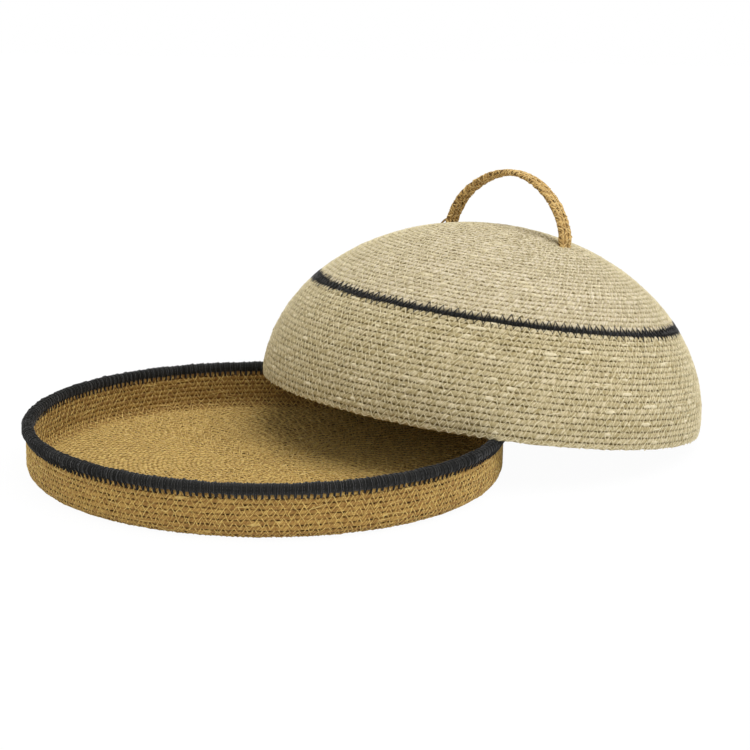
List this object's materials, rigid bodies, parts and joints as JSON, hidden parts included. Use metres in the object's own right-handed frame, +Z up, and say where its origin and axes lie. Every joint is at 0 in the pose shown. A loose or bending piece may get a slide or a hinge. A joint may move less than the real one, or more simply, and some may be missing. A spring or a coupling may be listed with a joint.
{
  "type": "food cover",
  "caption": "Round coiled-grass tray with a low rim, and a domed coiled-grass cover with a strap handle that leans on the tray.",
  "frame": {"origin": "the middle of the flat underside of the tray", "axes": "+Z up from the table, +X to the right as the picture shows it, +Y away from the camera; the cover leans to +X and +Y"},
  "size_m": [0.5511, 0.5002, 0.2227],
  "materials": {
    "brown_grass": "matte",
    "natural_grass": "matte",
    "handle_grass": "matte",
    "black_grass": "matte"
  },
  "bodies": {
    "tray": {"tray_floor": "brown_grass", "tray_wall": "brown_grass", "tray_rim_cord": "black_grass"},
    "cover": {"cover_skirt": "natural_grass", "cover_band_cord": "black_grass", "cover_crown": "natural_grass", "handle_cord_near": "handle_grass", "handle_cord_middle": "handle_grass", "handle_cord_far": "handle_grass"}
  },
  "joints": [
    {"name": "cover_lift", "type": "slide", "parent": "tray", "child": "cover", "axis": [0, 0, 1], "range_m": [0, 0.2]}
  ]
}
